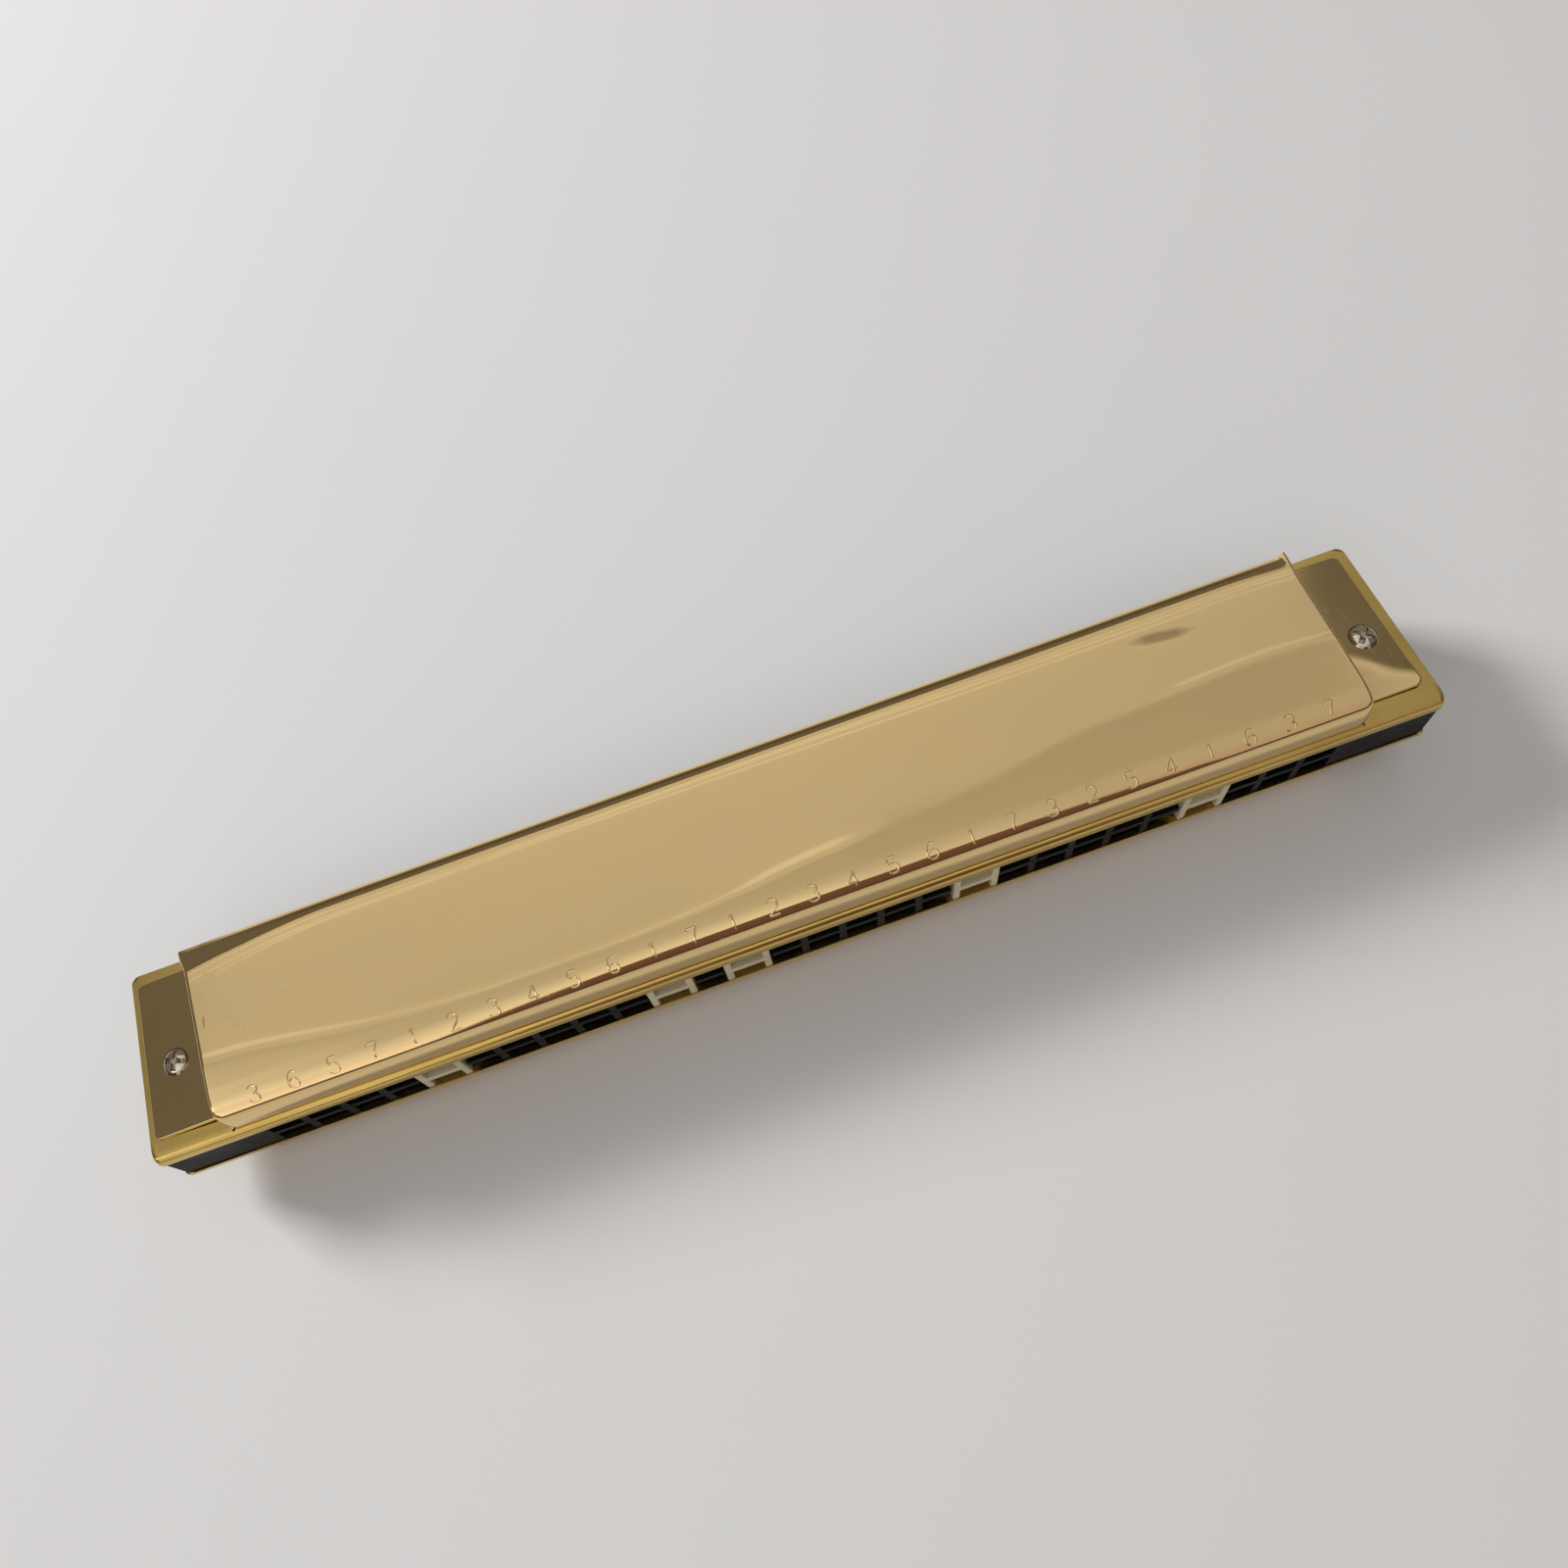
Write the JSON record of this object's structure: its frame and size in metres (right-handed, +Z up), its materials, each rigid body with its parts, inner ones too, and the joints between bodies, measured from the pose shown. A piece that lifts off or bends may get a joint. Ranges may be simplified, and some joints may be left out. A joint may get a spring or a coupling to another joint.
{
  "type": "tremolo harmonica",
  "caption": "Long mouth-blown free-reed harmonica: black comb with paired rows of holes between two brass reed plates and two polished gold covers, held by a bolt at each end.",
  "frame": {"origin": "middle of the flat strip along the lower cover's crown, on which the harmonica lies", "axes": "+X along the row of notes from low to high, -Y towards the player's mouth, +Z up through the numbered upper cover"},
  "size_m": [0.2124, 0.0316, 0.026],
  "materials": {
    "cover_gold": "polished gold plate",
    "plate_brass": "satin rolled brass",
    "reed_bronze": "filed phosphor bronze",
    "screw_brass": "turned brass",
    "bolt_steel": "nickel-plated steel",
    "comb_plastic": "black moulded plastic with a low sheen",
    "cream_plastic": "cream moulded plastic"
  },
  "bodies": {
    "root": {"comb": "comb_plastic", "do_hole_frame_05": "cream_plastic", "do_hole_frame_11": "cream_plastic", "do_hole_frame_13": "cream_plastic", "do_hole_frame_19": "cream_plastic", "do_hole_frame_25": "cream_plastic", "upper_reed_plate": "plate_brass", "upper_draw_reed_02": "reed_bronze", "upper_draw_reed_04": "reed_bronze", "upper_draw_reed_06": "reed_bronze", "upper_draw_reed_08": "reed_bronze", "upper_draw_reed_10": "reed_bronze", "upper_draw_reed_12": "reed_bronze", "upper_draw_reed_14": "reed_bronze", "upper_draw_reed_16": "reed_bronze", "upper_draw_reed_18": "reed_bronze", "upper_draw_reed_20": "reed_bronze", "upper_draw_reed_22": "reed_bronze", "upper_draw_reed_24": "reed_bronze", "upper_draw_reed_26": "reed_bronze", "upper_draw_reed_28": "reed_bronze", "upper_plate_screw_1": "screw_brass", "upper_plate_screw_2": "screw_brass", "upper_plate_screw_3": "screw_brass", "upper_plate_screw_4": "screw_brass", "upper_plate_screw_5": "screw_brass", "upper_cover": "cover_gold", "lower_reed_plate": "plate_brass", "lower_draw_reed_02": "reed_bronze", "lower_draw_reed_04": "reed_bronze", "lower_draw_reed_06": "reed_bronze", "lower_draw_reed_08": "reed_bronze", "lower_draw_reed_10": "reed_bronze", "lower_draw_reed_12": "reed_bronze", "lower_draw_reed_14": "reed_bronze", "lower_draw_reed_16": "reed_bronze", "lower_draw_reed_18": "reed_bronze", "lower_draw_reed_20": "reed_bronze", "lower_draw_reed_22": "reed_bronze", "lower_draw_reed_24": "reed_bronze", "lower_draw_reed_26": "reed_bronze", "lower_draw_reed_28": "reed_bronze", "lower_plate_screw_1": "screw_brass", "lower_plate_screw_2": "screw_brass", "lower_plate_screw_3": "screw_brass", "lower_plate_screw_4": "screw_brass", "lower_plate_screw_5": "screw_brass", "lower_cover": "cover_gold", "cover_bolt_left": "bolt_steel", "cover_nut_left": "bolt_steel", "cover_bolt_right": "bolt_steel", "cover_nut_right": "bolt_steel"}
  },
  "joints": []
}
